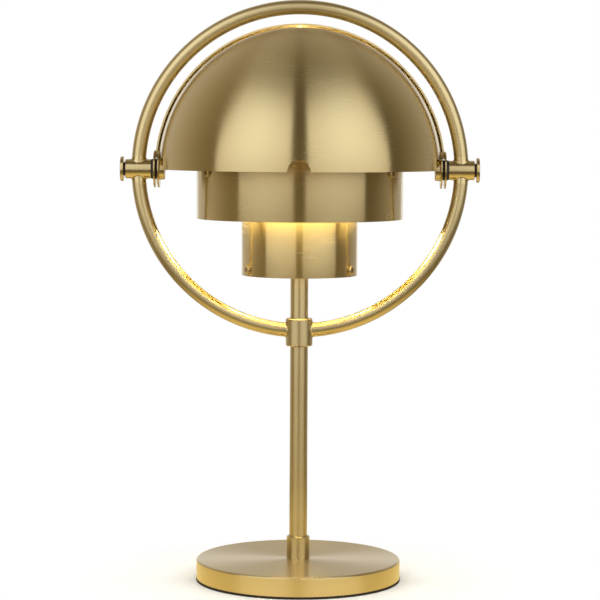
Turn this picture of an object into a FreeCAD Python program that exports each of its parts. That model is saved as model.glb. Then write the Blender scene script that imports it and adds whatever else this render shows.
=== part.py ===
import FreeCAD, Part
import math
import os

# Desk lamp with a dome of two turning quarter-sphere shades, millimetres.
# Z is up, X runs along the pivots, the front faces -Y, and the origin is the
# centre of the underside of the base.

# ------------------------------------------------------------------ base
base_radius = 89.2
base_height = 18.6
cover_wall = 1.4
cover_edge_radius = 1.6
pad_thickness = 2.0
pad_proud = 0.3
floor_plate_thickness = 2.0
weight_pocket_radius = 17.0
weight_web_thickness = 3.0
weight_edge_chamfer = 1.5
lead_slot_gap = 0.6
floor_screw_circle = 62.0
floor_screw_head_radius = 4.0
floor_screw_radius = 2.0
floor_screw_depth = 7.0
floor_screw_count = 3
floor_screw_start_deg = 30.0
cover_seat_gap = 0.2

# ------------------------------------------------------------ cable inlet
inlet_height = 9.0
grommet_bore_radius = 3.2
grommet_body_radius = 4.6
grommet_flange_radius = 5.8
grommet_flange_thickness = 1.5
grommet_inside_length = 3.0
lead_radius = 1.5
lead_bend_radius = 8.0
lead_start_setback = 8.0
lead_run_height = 7.0

# ------------------------------------------------------------------- stem
stem_radius = 7.75
stem_wall = 1.5
stem_nut_width = 22.0
stem_nut_thickness = 3.8
stem_nut_margin = 0.2
ferrule_radius = 10.0
ferrule_height = 20.0
ferrule_edge = 0.8

# ------------------------------------------------------------- pivot, ring
pivot_height = 359.4
ring_radius = 140.0
ring_tube_radius = 6.2
ring_tube_wall = 1.4
collar_radius = 11.7
collar_height = 24.2
collar_drop = 1.4
collar_edge = 0.9
braze_radius = 1.6
stub_land = 0.8
hub_radius = 8.4
hub_length = 22.7
hub_edge = 0.5
set_screw_radius = 2.0
set_screw_recess = 0.3
set_screw_socket_width = 2.0
set_screw_socket_depth = 1.8

# ------------------------------------------------------------ pivot stack
pin_radius = 3.0
pin_end_setback = 0.5
knob_radius = 10.7
knob_thickness = 2.9
knob_edge = 0.8
knob_hole_depth = 1.9
knob_washer_radius = 5.8
knob_washer_thickness = 1.4
hub_washer_radius = 8.7
hub_washer_thickness = 2.1
ear_washer_radius = 8.7
ear_washer_thickness = 1.9
pivot_nut_radius = 9.3
pivot_nut_thickness = 4.6
pivot_nut_edge = 0.6

# ----------------------------------------------------------------- shades
sheet = 1.5
ear_radius = 16.2
ear_edge = 0.3
notch_radius = 9.6
relief_gap = 0.4

# -------------------------------------------------------------- cylinders
cylinder_wall = 1.2
middle_radius = 89.7
middle_height = 85.0
middle_screw_drop = 2.0
inner_radius = 50.5
inner_height = 59.2
inner_bottom_drop = 91.6
inner_screw_rise = 6.0

# ---------------------------------------------------------------- spiders
arm_count = 3
arm_first_deg = 60.0
arm_width = 10.0
arm_thickness = 1.5
tab_width = 12.0
tab_margin = 6.0
tab_low_setback = 1.0
tab_gap = 0.1
upper_arm_gap = 1.4
spider_rim_radius = 14.0

# ----------------------------------------------------------------- screws
screw_radius = 2.0
screw_head_radius = 3.8
screw_head_height = 2.2
screw_head_edge = 0.8
screw_recess_width = 1.0
screw_recess_length = 4.4
screw_recess_depth = 1.0
screw_end = 1.5

# ------------------------------------------------------------ lamp holder
nipple_radius = 5.0
nipple_bore_radius = 3.4
nipple_depth = 8.0
nipple_top_reach = 3.0
bush_length = 12.0
clamp_nut_width = 16.0
clamp_nut_thickness = 3.0
holder_cup_radius = 13.2
holder_cup_floor = 1.5
holder_cup_edge = 4.0
holder_wall = 1.2
holder_skirt_radius = 14.0
holder_cup_height = 19.0
core_foot_gap = 5.0
core_land = 0.4
sleeve_wall = 0.4
shade_ring_radius = 19.0
shade_ring_thickness = 4.0
shade_ring_edge = 0.6

# ------------------------------------------------------------------- bulb
globe_radius = 22.5
glass_wall = 0.9
neck_radius = 8.2
neck_drop = 30.0
bulb_cap_radius = 6.9
bulb_cap_length = 22.0
bulb_collar_radius = 8.6
bulb_collar_height = 3.0
bulb_insulator_height = 1.6
bulb_insulator_radius = 5.0
bulb_tip_radius = 2.4
bulb_tip_height = 1.2
contact_thickness = 0.8

# ------------------------------------------------------------------- fits
running_gap = 0.05
seat_gap = 0.05

# ------------------------------------------------------- working allowances
cut_overrun = 1.0
same_size = 1e-6

# ------------------------------------------------------ worked-out places
UP = FreeCAD.Vector(0, 0, 1)
ALONG_X = FreeCAD.Vector(1, 0, 0)
ALONG_Y = FreeCAD.Vector(0, 1, 0)
PIVOT = FreeCAD.Vector(0, 0, pivot_height)
SIDES = {"left": -1, "right": 1}

hub_inner_x = ring_radius - hub_length / 2
hub_outer_x = ring_radius + hub_length / 2
back_ear_outer_x = hub_inner_x - hub_washer_thickness
back_ear_inner_x = back_ear_outer_x - sheet
front_ear_outer_x = back_ear_inner_x - ear_washer_thickness
front_ear_inner_x = front_ear_outer_x - sheet
pivot_nut_inner_x = front_ear_inner_x - pivot_nut_thickness
knob_inner_x = hub_outer_x + knob_washer_thickness
knob_outer_x = knob_inner_x + knob_thickness

relief_height = pivot_nut_radius + relief_gap
relief_x = pivot_nut_inner_x - relief_gap

pad_radius = base_radius + pad_proud
lead_slot_width = 2 * (grommet_body_radius + lead_slot_gap)
cover_inside_top = base_height - cover_wall
cover_inside_radius = base_radius - cover_wall
floor_plate_top = pad_thickness + floor_plate_thickness
weight_top = cover_inside_top - cover_seat_gap
weight_pocket_top = weight_top - weight_web_thickness
weight_radius = cover_inside_radius - cover_seat_gap - cover_edge_radius
stem_nut_top = weight_pocket_top
stem_bottom = stem_nut_top - stem_nut_thickness - stem_nut_margin
ring_bottom_z = pivot_height - ring_radius
collar_centre_z = ring_bottom_z - collar_drop

middle_bottom = pivot_height - middle_height / 2
middle_top = pivot_height + middle_height / 2
middle_screw_z = pivot_height - middle_screw_drop
inner_bottom = pivot_height - inner_bottom_drop
inner_top = inner_bottom + inner_height
inner_screw_z = inner_bottom + inner_screw_rise

lower_plate_bottom = inner_screw_z + tab_margin
lower_plate_top = lower_plate_bottom + arm_thickness
stem_top = lower_plate_bottom
clamp_nut_top = lower_plate_top + clamp_nut_thickness
holder_bottom = clamp_nut_top
cup_top = holder_bottom + holder_cup_height
upper_plate_bottom = inner_top + upper_arm_gap
upper_plate_top = upper_plate_bottom + arm_thickness
skirt_top = upper_plate_top + shade_ring_thickness

bulb_cap_top = pivot_height - neck_drop
bulb_cap_bottom = bulb_cap_top - bulb_cap_length
bulb_tip_bottom = bulb_cap_bottom - bulb_insulator_height - bulb_tip_height
core_radius = holder_skirt_radius - holder_wall - seat_gap
core_top = bulb_cap_top - bulb_collar_height - core_land
core_bottom = holder_bottom + holder_cup_floor + core_foot_gap
sleeve_inside_radius = bulb_cap_radius + seat_gap
nipple_top = holder_bottom + holder_cup_floor + nipple_top_reach
nipple_bottom = stem_top - nipple_depth


# ------------------------------------------------------------ small tools
def at(x, y, z):
    return FreeCAD.Vector(x, y, z)


def rod(radius, start, end):
    """Solid round bar between two points."""
    run = end - start
    return Part.makeCylinder(radius, run.Length, start, run)


def pipe(outside, inside, start, end):
    """Round tube between two points."""
    return rod(outside, start, end).cut(rod(inside, start, end))


def upright(radius, low, high):
    """Round bar on the Z axis between two heights."""
    return rod(radius, at(0, 0, low), at(0, 0, high))


def upright_pipe(outside, inside, low, high):
    """Round tube on the Z axis between two heights."""
    return pipe(outside, inside, at(0, 0, low), at(0, 0, high))


def cross_pipe(outside, inside, side, near, far):
    """Round tube on the pivot axis, between two distances from the centre."""
    return pipe(outside, inside, at(side * near, 0, pivot_height), at(side * far, 0, pivot_height))


def box(low, high):
    """Block between its lowest and highest corners."""
    size = high - low
    return Part.makeBox(size.x, size.y, size.z, low)


def is_round(edge):
    return isinstance(edge.Curve, Part.Circle)


def round_edges(shape, radius):
    """Full circles of one radius in a shape."""
    return [edge for edge in shape.Edges if is_round(edge) and abs(edge.Curve.Radius - radius) < same_size]


def hex_bar(width, low, high):
    """Hexagonal bar on the Z axis, given across its flats."""
    corner = width / 2 / math.cos(math.pi / 6)
    points = [at(corner * math.cos(k * math.pi / 3), corner * math.sin(k * math.pi / 3), low)
              for k in range(6)]
    face = Part.Face(Part.makePolygon(points + points[:1]))
    return face.extrude(UP * (high - low))


def spun(shape, angle):
    """Copy of a shape turned about the Z axis."""
    return shape.copy().rotate(at(0, 0, 0), UP, angle)


def save(name, shape):
    """Write one sub-part after a check that it is a valid solid body."""
    solids = shape.Solids
    body = solids[0] if len(solids) == 1 else Part.makeCompound(solids)
    if not solids or not body.isValid():
        raise ValueError("not a valid solid: " + name)
    body.exportStep(os.path.join("parts", name + ".step"))


# ------------------------------------------------------------------- base
def floor_screw_places():
    step = 360 / floor_screw_count
    angles = [math.radians(floor_screw_start_deg + step * k) for k in range(floor_screw_count)]
    return [(floor_screw_circle * math.cos(a), floor_screw_circle * math.sin(a)) for a in angles]


def base_pad():
    return upright(pad_radius, 0, pad_thickness)


def base_cover():
    shell = upright(base_radius, pad_thickness, base_height)
    top_edge = [edge for edge in round_edges(shell, base_radius) if edge.BoundBox.ZMin > pad_thickness]
    shell = shell.makeFillet(cover_edge_radius, top_edge)
    shell = shell.cut(upright(cover_inside_radius, pad_thickness, cover_inside_top))
    shell = shell.cut(upright(stem_radius + seat_gap, 0, base_height))
    inlet = rod(grommet_body_radius + seat_gap, at(0, 0, inlet_height), at(0, pad_radius, inlet_height))
    return shell.cut(inlet)


def floor_screw(x, y, gap):
    """Countersunk screw from the floor plate up into the weight."""
    head = Part.makeCone(floor_screw_head_radius + gap, floor_screw_radius + gap, floor_plate_thickness,
                         at(x, y, pad_thickness), UP)
    end = at(x, y, floor_plate_top + floor_screw_depth)
    shank = rod(floor_screw_radius + gap, at(x, y, floor_plate_top), end)
    return head.fuse(shank).removeSplitter()


def floor_plate():
    plate = upright(cover_inside_radius - cover_seat_gap, pad_thickness, floor_plate_top)
    for x, y in floor_screw_places():
        plate = plate.cut(floor_screw(x, y, seat_gap))
    return plate


def base_weight():
    weight = upright(weight_radius, floor_plate_top, weight_top)
    weight = weight.makeChamfer(weight_edge_chamfer, round_edges(weight, weight_radius))
    weight = weight.cut(upright(weight_pocket_radius, floor_plate_top, weight_pocket_top))
    weight = weight.cut(upright(stem_radius + seat_gap, floor_plate_top, weight_top))
    half = lead_slot_width / 2
    weight = weight.cut(box(at(-half, 0, floor_plate_top), at(half, base_radius, weight_pocket_top)))
    for x, y in floor_screw_places():
        weight = weight.cut(floor_screw(x, y, seat_gap))
    return weight


def floor_screws():
    return Part.makeCompound([floor_screw(x, y, 0) for x, y in floor_screw_places()])


def cable_grommet():
    tail = at(0, cover_inside_radius - grommet_inside_length, inlet_height)
    inside = at(0, cover_inside_radius, inlet_height)
    outside = at(0, base_radius, inlet_height)
    end = at(0, base_radius + grommet_flange_thickness, inlet_height)
    body = pipe(grommet_body_radius, grommet_bore_radius, tail, outside)
    flange = pipe(grommet_flange_radius, grommet_bore_radius, outside, end)
    wall = upright(base_radius, 0, base_height)
    seat = pipe(grommet_flange_radius, grommet_bore_radius, inside, outside)
    return body.fuse(flange).fuse(seat.cut(wall)).removeSplitter()


# ------------------------------------------------------------------- stem
def stem_tube():
    return upright_pipe(stem_radius, stem_radius - stem_wall, stem_bottom, stem_top)


def stem_nut():
    nut = hex_bar(stem_nut_width, stem_nut_top - stem_nut_thickness, stem_nut_top)
    return nut.cut(upright(stem_radius + seat_gap, stem_nut_top - stem_nut_thickness, stem_nut_top))


def stem_ferrule():
    top = base_height + ferrule_height
    body = upright(ferrule_radius, base_height, top)
    top_edge = [edge for edge in round_edges(body, ferrule_radius) if edge.BoundBox.ZMin > base_height]
    body = body.makeChamfer(ferrule_edge, top_edge)
    return body.cut(upright(stem_radius + seat_gap, base_height, top))


def stem_bush():
    outside = stem_radius - stem_wall - seat_gap
    return upright_pipe(outside, nipple_radius + seat_gap, stem_top - bush_length, stem_top)


def inner_lead():
    """Twin wire from beside the cable inlet, round the bend and up the stem."""
    start_y = cover_inside_radius - grommet_inside_length - lead_start_setback
    bend = lead_bend_radius
    corner = bend * (1 - math.sqrt(0.5))
    low = lead_run_height
    level = Part.LineSegment(at(0, start_y, low), at(0, bend, low))
    turn = Part.Arc(at(0, bend, low), at(0, corner, low + corner), at(0, 0, low + bend))
    rise = Part.LineSegment(at(0, 0, low + bend), at(0, 0, core_bottom))
    path = Part.Wire([level.toShape(), turn.toShape(), rise.toShape()])
    ring = Part.Wire(Part.makeCircle(lead_radius, at(0, start_y, low), ALONG_Y))
    return path.makePipeShell([ring], True, False)


# ------------------------------------------------------------------- ring
def ring_point(angle):
    """Point on the ring's centre line, angle in degrees from +X towards +Z."""
    turn = math.radians(angle)
    return at(ring_radius * math.cos(turn), 0, pivot_height + ring_radius * math.sin(turn))


def ring_piece(outside, start, end):
    """Bent round bar along the ring between two angles."""
    turn = math.radians(start)
    heading = at(-math.sin(turn), 0, math.cos(turn))
    face = Part.Face(Part.Wire(Part.makeCircle(outside, ring_point(start), heading)))
    return face.revolve(PIVOT, -ALONG_Y, end - start)


def ring_tube(start, end):
    """Bent tube along the ring between two angles."""
    bore = ring_piece(ring_tube_radius - ring_tube_wall, start, end)
    return ring_piece(ring_tube_radius, start, end).cut(bore)


def stub_half_angle(body_radius):
    """Half angle of the stub that a hub or collar carries for the ring tubes."""
    reach = body_radius + braze_radius + stub_land
    return math.degrees(math.asin(reach / (ring_radius - ring_tube_radius)))


hub_half_angle = stub_half_angle(hub_radius)
collar_half_angle = stub_half_angle(collar_radius)


def is_seam(edge):
    """True for the curve in which a stub leaves the round body that it crosses."""
    return not isinstance(edge.Curve, Part.Line) and not is_round(edge)


def brazed(body, stub, near, span):
    """Body and stub in one, with a hollow fillet where the stub leaves the body."""
    joined = body.fuse(stub)
    curves = [edge for edge in joined.Edges if is_seam(edge)]
    seams = [edge for edge in curves if near(edge.BoundBox) and span(edge.BoundBox) > ring_tube_radius]
    return joined.makeFillet(braze_radius, seams)


def hub(side):
    body = rod(hub_radius, at(side * hub_inner_x, 0, pivot_height), at(side * hub_outer_x, 0, pivot_height))
    body = body.makeChamfer(hub_edge, round_edges(body, hub_radius))
    middle = 0 if side > 0 else 180
    stub = ring_piece(ring_tube_radius, middle - hub_half_angle, middle + hub_half_angle)
    low = pivot_height - hub_radius - seat_gap
    high = pivot_height + hub_radius + seat_gap
    joined = brazed(body, stub, lambda b: b.ZMin > low and b.ZMax < high, lambda b: b.XLength)
    return joined.cut(rod(pin_radius + seat_gap, PIVOT, at(side * knob_inner_x, 0, pivot_height)))


def ring_collar():
    low = collar_centre_z - collar_height / 2
    high = collar_centre_z + collar_height / 2
    body = upright(collar_radius, low, high)
    body = body.makeChamfer(collar_edge, round_edges(body, collar_radius))
    stub = ring_piece(ring_tube_radius, 270 - collar_half_angle, 270 + collar_half_angle)
    limit = collar_radius + seat_gap
    joined = brazed(body, stub, lambda b: abs(b.XMin) < limit and abs(b.XMax) < limit, lambda b: b.ZLength)
    joined = joined.cut(upright(stem_radius + seat_gap, low, high))
    return joined.cut(rod(set_screw_radius + seat_gap, at(0, 0, collar_centre_z),
                          at(0, collar_radius + cut_overrun, collar_centre_z)))


def collar_screw():
    """Socket set screw that bears on the back of the stem."""
    tip = stem_radius + seat_gap
    end = collar_radius - set_screw_recess
    body = rod(set_screw_radius, at(0, tip, collar_centre_z), at(0, end, collar_centre_z))
    socket = hex_bar(set_screw_socket_width, 0, set_screw_socket_depth)
    socket.rotate(at(0, 0, 0), ALONG_X, -90)
    socket.translate(at(0, end - set_screw_socket_depth, collar_centre_z))
    return body.cut(socket)


# ------------------------------------------------------------ pivot stack
def pivot_pin(side):
    return rod(pin_radius, at(side * (pivot_nut_inner_x + pin_end_setback), 0, pivot_height),
               at(side * (knob_inner_x + knob_hole_depth), 0, pivot_height))


def knob(side):
    near = at(side * knob_inner_x, 0, pivot_height)
    far = at(side * knob_outer_x, 0, pivot_height)
    body = rod(knob_radius, near, far)
    body = body.makeFillet(knob_edge, round_edges(body, knob_radius))
    return body.cut(rod(pin_radius + seat_gap, at(side * hub_outer_x, 0, pivot_height),
                        at(side * (knob_inner_x + knob_hole_depth), 0, pivot_height)))


def pivot_nut(side):
    body = cross_pipe(pivot_nut_radius, pin_radius + seat_gap, side, pivot_nut_inner_x, front_ear_inner_x)
    inner_end = [edge for edge in round_edges(body, pivot_nut_radius)
                 if abs(abs(edge.BoundBox.Center.x) - pivot_nut_inner_x) < seat_gap]
    return body.makeChamfer(pivot_nut_edge, inner_end)


def washer(side, radius, near, thickness):
    return cross_pipe(radius, pin_radius + seat_gap, side, near, near + thickness)


# ----------------------------------------------------------------- shades
def shade_radius(ear_inner_x):
    """Outside radius of a dome whose surface meets the rim of its flat ear."""
    return math.hypot(ear_inner_x, ear_radius)


def quarter_dome(ear_inner_x, front):
    """Quarter sphere of sheet, from the top down to its rim at pivot height.

    front is +1 for the shade at -Y and -1 for the one at +Y.
    """
    outside = shade_radius(ear_inner_x)
    inside = outside - sheet
    inside_x = math.sqrt(inside ** 2 - relief_height ** 2)
    corners = [(ear_inner_x, ear_radius), (ear_inner_x, relief_height), (inside_x, relief_height)]
    right = [at(x, 0, pivot_height + r) for x, r in corners]
    left = [at(-x, 0, pivot_height + r) for x, r in corners]
    outer_arc = Part.Arc(right[0], PIVOT + UP * outside, left[0])
    inner_arc = Part.Arc(left[2], PIVOT + UP * inside, right[2])
    outline = [outer_arc.toShape(), Part.makeLine(left[0], left[1]), Part.makeLine(left[1], left[2]),
               inner_arc.toShape(), Part.makeLine(right[2], right[1]), Part.makeLine(right[1], right[0])]
    dome = Part.Face(Part.Wire(outline)).revolve(PIVOT, ALONG_X, 90 * front)
    reach = outside + cut_overrun
    dome = dome.cut(rod(notch_radius, PIVOT, PIVOT - ALONG_Y * (front * reach)))
    for side in SIDES.values():
        ends = sorted([side * relief_x, side * reach])
        dome = dome.cut(box(at(ends[0], -reach, pivot_height - cut_overrun),
                            at(ends[1], reach, pivot_height + relief_height)))
    return dome


def shade_ear(side, ear_inner_x):
    """Flat round ear that the pivot pin passes through."""
    ear = cross_pipe(ear_radius, pin_radius + running_gap, side, ear_inner_x, ear_inner_x + sheet)
    return ear.makeChamfer(ear_edge, round_edges(ear, ear_radius))


# -------------------------------------------------------------- cylinders
def outward(angle):
    """Unit vector at an angle from the front, -Y, towards +X."""
    turn = math.radians(angle)
    return at(math.sin(turn), -math.cos(turn), 0)


def arm_angles():
    return [arm_first_deg + 360 / arm_count * k for k in range(arm_count)]


def wall_screw(angle, radius, height, gap=0):
    """Pan-head screw through a cylinder's wall into the tab behind it."""
    way = outward(angle)
    face = at(0, 0, height) + way * radius
    length = cylinder_wall + tab_gap + arm_thickness + screw_end
    shank = rod(screw_radius + gap, face - way * length, face)
    if gap:
        return shank
    head = rod(screw_head_radius, face, face + way * screw_head_height)
    rim = [edge for edge in round_edges(head, screw_head_radius)
           if (edge.Curve.Center - face).Length > screw_head_height / 2]
    head = head.makeFillet(screw_head_edge, rim)
    head = head.cut(rod(radius, at(0, 0, height - screw_head_radius), at(0, 0, height + screw_head_radius)))
    half = at(screw_recess_length / 2, screw_recess_width / 2, 0)
    recess = None
    for turn in (0, 90):
        bar = box(at(-half.x, -half.y, -screw_recess_depth), at(half.x, half.y, cut_overrun))
        bar.rotate(at(0, 0, 0), UP, turn)
        seat = FreeCAD.Placement(face + way * screw_head_height, FreeCAD.Rotation(UP, way))
        bar.Placement = seat.multiply(bar.Placement)
        recess = bar if recess is None else recess.fuse(bar)
    return shank.fuse(head).cut(recess).removeSplitter()


def holed_cylinder(radius, low, high, screw_z):
    wall = upright_pipe(radius, radius - cylinder_wall, low, high)
    for angle in arm_angles():
        end = at(0, 0, screw_z) + outward(angle) * (radius + cut_overrun)
        wall = wall.cut(rod(screw_radius + seat_gap, at(0, 0, screw_z), end))
    return wall


def wall_screws(radius, height):
    return Part.makeCompound([wall_screw(angle, radius, height) for angle in arm_angles()])


def spider(hole, rim, plate_low, wall_radius, tab_low, tab_high, screw_z):
    """Three-armed carrier: a ring, flat arms and tabs that lie on a cylinder's wall."""
    plate_high = plate_low + arm_thickness
    tab_face = wall_radius - cylinder_wall - tab_gap
    body = upright(rim, plate_low, plate_high)
    tabs = upright_pipe(tab_face, tab_face - arm_thickness, tab_low, tab_high)
    for angle in arm_angles():
        arm_end = at(tab_face - arm_thickness / 2, arm_width / 2, plate_high)
        arm = box(at(0, -arm_width / 2, plate_low), arm_end)
        slab = box(at(0, -tab_width / 2, tab_low), at(wall_radius, tab_width / 2, tab_high))
        tab = tabs.common(slab)
        body = body.fuse(spun(arm, angle - 90)).fuse(spun(tab, angle - 90))
    body = body.cut(upright(hole, plate_low, plate_high)).removeSplitter()
    for angle in arm_angles():
        body = body.cut(rod(screw_radius + seat_gap, at(0, 0, screw_z) + outward(angle) * rim,
                            at(0, 0, screw_z) + outward(angle) * wall_radius))
    return body


def lower_spider():
    return spider(nipple_radius + seat_gap, spider_rim_radius, lower_plate_bottom, inner_radius,
                  inner_screw_z - tab_margin + tab_low_setback, lower_plate_top, inner_screw_z)


def upper_spider():
    return spider(holder_skirt_radius + seat_gap, shade_ring_radius, upper_plate_bottom, middle_radius,
                  upper_plate_bottom, middle_screw_z + tab_margin, middle_screw_z)


# ------------------------------------------------------------ lamp holder
def holder_nipple():
    return upright_pipe(nipple_radius, nipple_bore_radius, nipple_bottom, nipple_top)


def clamp_nut():
    nut = hex_bar(clamp_nut_width, lower_plate_top, clamp_nut_top)
    return nut.cut(upright(nipple_radius + seat_gap, lower_plate_top, clamp_nut_top))


def holder_cup():
    cup = upright(holder_cup_radius, holder_bottom, cup_top)
    low_edge = [edge for edge in round_edges(cup, holder_cup_radius) if edge.BoundBox.ZMax < cup_top]
    cup = cup.makeFillet(holder_cup_edge, low_edge)
    hollow = upright(holder_cup_radius - holder_wall, holder_bottom + holder_cup_floor, cup_top)
    inside_edges = round_edges(hollow, holder_cup_radius - holder_wall)
    low_inside = [edge for edge in inside_edges if edge.BoundBox.ZMax < cup_top]
    cup = cup.cut(hollow.makeFillet(holder_cup_edge - holder_wall, low_inside))
    return cup.cut(upright(nipple_radius + seat_gap, holder_bottom, cup_top))


def holder_skirt():
    return upright_pipe(holder_skirt_radius, holder_skirt_radius - holder_wall, cup_top, skirt_top)


def holder_core():
    """Insulator with the pocket for the screw sleeve, on a narrower foot in the cup."""
    foot_radius = holder_cup_radius - holder_wall - seat_gap - holder_cup_edge / 2
    core = upright(core_radius, cup_top, core_top).fuse(upright(foot_radius, core_bottom, cup_top))
    pocket_floor = bulb_tip_bottom - contact_thickness
    pocket = upright(sleeve_inside_radius + sleeve_wall + seat_gap, pocket_floor, core_top)
    return core.cut(pocket).removeSplitter()


def holder_sleeve():
    pocket_floor = bulb_tip_bottom - contact_thickness
    return upright_pipe(sleeve_inside_radius + sleeve_wall, sleeve_inside_radius, pocket_floor, core_top)


def holder_contact():
    return upright(bulb_tip_radius, bulb_tip_bottom - contact_thickness, bulb_tip_bottom)


def shade_ring(low):
    ring = upright(shade_ring_radius, low, low + shade_ring_thickness)
    ring = ring.makeChamfer(shade_ring_edge, round_edges(ring, shade_ring_radius))
    return ring.cut(upright(holder_skirt_radius + seat_gap, low, low + shade_ring_thickness))


# ------------------------------------------------------------------- bulb
def bulb_outline(radius, neck):
    """Half outline of the globe and its tapered neck, from the top to the cap."""
    reach = math.hypot(neck_drop, neck)
    lean = math.atan2(neck_drop, neck) - math.acos(radius / reach)
    top = PIVOT + UP * radius
    side = PIVOT + ALONG_X * radius
    leave = PIVOT + at(radius * math.cos(lean), 0, -radius * math.sin(lean))
    foot = at(neck, 0, bulb_cap_top)
    centre = at(0, 0, bulb_cap_top)
    return Part.Wire([Part.Arc(top, side, leave).toShape(), Part.makeLine(leave, foot),
                      Part.makeLine(foot, centre), Part.makeLine(centre, top)])


def bulb_glass():
    outer = Part.Face(bulb_outline(globe_radius, neck_radius))
    inner = Part.Face(bulb_outline(globe_radius - glass_wall, neck_radius - glass_wall))
    return outer.revolve(PIVOT, UP, 360).cut(inner.revolve(PIVOT, UP, 360))


def bulb_cap():
    body = upright(bulb_cap_radius, bulb_cap_bottom, bulb_cap_top)
    collar = upright(bulb_collar_radius, bulb_cap_top - bulb_collar_height, bulb_cap_top)
    return body.fuse(collar).removeSplitter()


def bulb_insulator():
    return Part.makeCone(bulb_tip_radius, bulb_insulator_radius, bulb_insulator_height,
                         at(0, 0, bulb_cap_bottom - bulb_insulator_height), UP)


def bulb_tip():
    return upright(bulb_tip_radius, bulb_tip_bottom, bulb_tip_bottom + bulb_tip_height)


# ------------------------------------------------------------------ model
def build():
    os.makedirs("parts", exist_ok=True)
    save("base_pad", base_pad())
    save("base_cover", base_cover())
    save("base_weight", base_weight())
    save("floor_plate", floor_plate())
    save("floor_screws", floor_screws())
    save("cable_grommet", cable_grommet())
    save("stem_tube", stem_tube())
    save("stem_nut", stem_nut())
    save("stem_ferrule", stem_ferrule())
    save("stem_bush", stem_bush())
    save("inner_lead", inner_lead())
    save("ring_collar", ring_collar())
    save("collar_screw", collar_screw())
    save("ring_upper_arc", ring_tube(hub_half_angle, 180 - hub_half_angle))
    save("ring_lower_left_arc", ring_tube(180 + hub_half_angle, 270 - collar_half_angle))
    save("ring_lower_right_arc", ring_tube(270 + collar_half_angle, 360 - hub_half_angle))
    for name, side in SIDES.items():
        save("hub_" + name, hub(side))
        save("pivot_pin_" + name, pivot_pin(side))
        save("knob_" + name, knob(side))
        save("knob_washer_" + name, washer(side, knob_washer_radius, hub_outer_x, knob_washer_thickness))
        save("hub_washer_" + name, washer(side, hub_washer_radius, back_ear_outer_x, hub_washer_thickness))
        save("ear_washer_" + name, washer(side, ear_washer_radius, front_ear_outer_x, ear_washer_thickness))
        save("pivot_nut_" + name, pivot_nut(side))
        save("back_ear_" + name, shade_ear(side, back_ear_inner_x))
        save("front_ear_" + name, shade_ear(side, front_ear_inner_x))
    save("back_shade", quarter_dome(back_ear_inner_x, -1))
    save("front_shade", quarter_dome(front_ear_inner_x, 1))
    save("middle_cylinder", holed_cylinder(middle_radius, middle_bottom, middle_top, middle_screw_z))
    save("inner_cylinder", holed_cylinder(inner_radius, inner_bottom, inner_top, inner_screw_z))
    save("middle_cylinder_screws", wall_screws(middle_radius, middle_screw_z))
    save("inner_cylinder_screws", wall_screws(inner_radius, inner_screw_z))
    save("lower_spider", lower_spider())
    save("upper_spider", upper_spider())
    save("holder_nipple", holder_nipple())
    save("clamp_nut", clamp_nut())
    save("holder_cup", holder_cup())
    save("holder_skirt", holder_skirt())
    save("holder_core", holder_core())
    save("holder_sleeve", holder_sleeve())
    save("holder_contact", holder_contact())
    save("shade_ring_lower", shade_ring(upper_plate_bottom - shade_ring_thickness))
    save("shade_ring_upper", shade_ring(upper_plate_top))
    save("bulb_glass", bulb_glass())
    save("bulb_cap", bulb_cap())
    save("bulb_insulator", bulb_insulator())
    save("bulb_tip", bulb_tip())


build()
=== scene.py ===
import math

import bmesh
import bpy
from mathutils import Matrix, Vector


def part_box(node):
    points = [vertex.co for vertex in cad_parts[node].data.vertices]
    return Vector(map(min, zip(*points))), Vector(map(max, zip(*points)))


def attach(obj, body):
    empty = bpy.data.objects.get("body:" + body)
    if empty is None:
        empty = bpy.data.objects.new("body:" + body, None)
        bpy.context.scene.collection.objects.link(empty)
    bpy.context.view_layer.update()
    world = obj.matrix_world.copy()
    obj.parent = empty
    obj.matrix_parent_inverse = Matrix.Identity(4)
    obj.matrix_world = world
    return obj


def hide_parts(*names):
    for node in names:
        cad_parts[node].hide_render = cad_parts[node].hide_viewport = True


bl_info = {
    "name": "Dome Shade Desk Lamp",
    "version": (1, 0, 0),
    "blender": (4, 5, 0),
    "location": "3D View > Sidebar > Lamp",
    "description": "Spins the shades, dresses every piece in its finish and lights the lamp in a studio",
    "category": "Object",
}

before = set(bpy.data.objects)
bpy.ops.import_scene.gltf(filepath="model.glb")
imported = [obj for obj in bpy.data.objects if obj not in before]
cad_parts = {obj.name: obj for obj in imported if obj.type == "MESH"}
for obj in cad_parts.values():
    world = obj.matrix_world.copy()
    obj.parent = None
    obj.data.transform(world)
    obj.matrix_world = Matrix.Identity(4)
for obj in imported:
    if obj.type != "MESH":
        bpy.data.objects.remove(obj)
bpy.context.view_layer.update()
SIDES = ("left", "right")
MM = 0.001
WHITE = (1.0, 1.0, 1.0, 1.0)


def span(node, axis):
    """Lowest and highest place of a frame node along one axis."""
    low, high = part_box(node)
    return low[axis], high[axis]


def half_size(node, axis):
    """Half of a frame node's length along one axis."""
    low, high = span(node, axis)
    return (high - low) / 2


PIVOT_HEIGHT = sum(span("front_ear_right", 2)) / 2


# ------------------------------------------------------------------ settings
def length(name, description, default):
    """A length that the user may change, in metres."""
    return bpy.props.FloatProperty(name=name, description=description, default=default,
                                   min=0.0, precision=5, subtype="DISTANCE", unit="LENGTH")


def share(name, description, default):
    """A plain number between nothing and one."""
    return bpy.props.FloatProperty(name=name, description=description, default=default,
                                   min=0.0, max=1.0, subtype="FACTOR")


def colour(name, description, default):
    """A colour that the user may change."""
    return bpy.props.FloatVectorProperty(name=name, description=description, default=default,
                                         size=4, min=0.0, max=1.0, subtype="COLOR")


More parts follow.
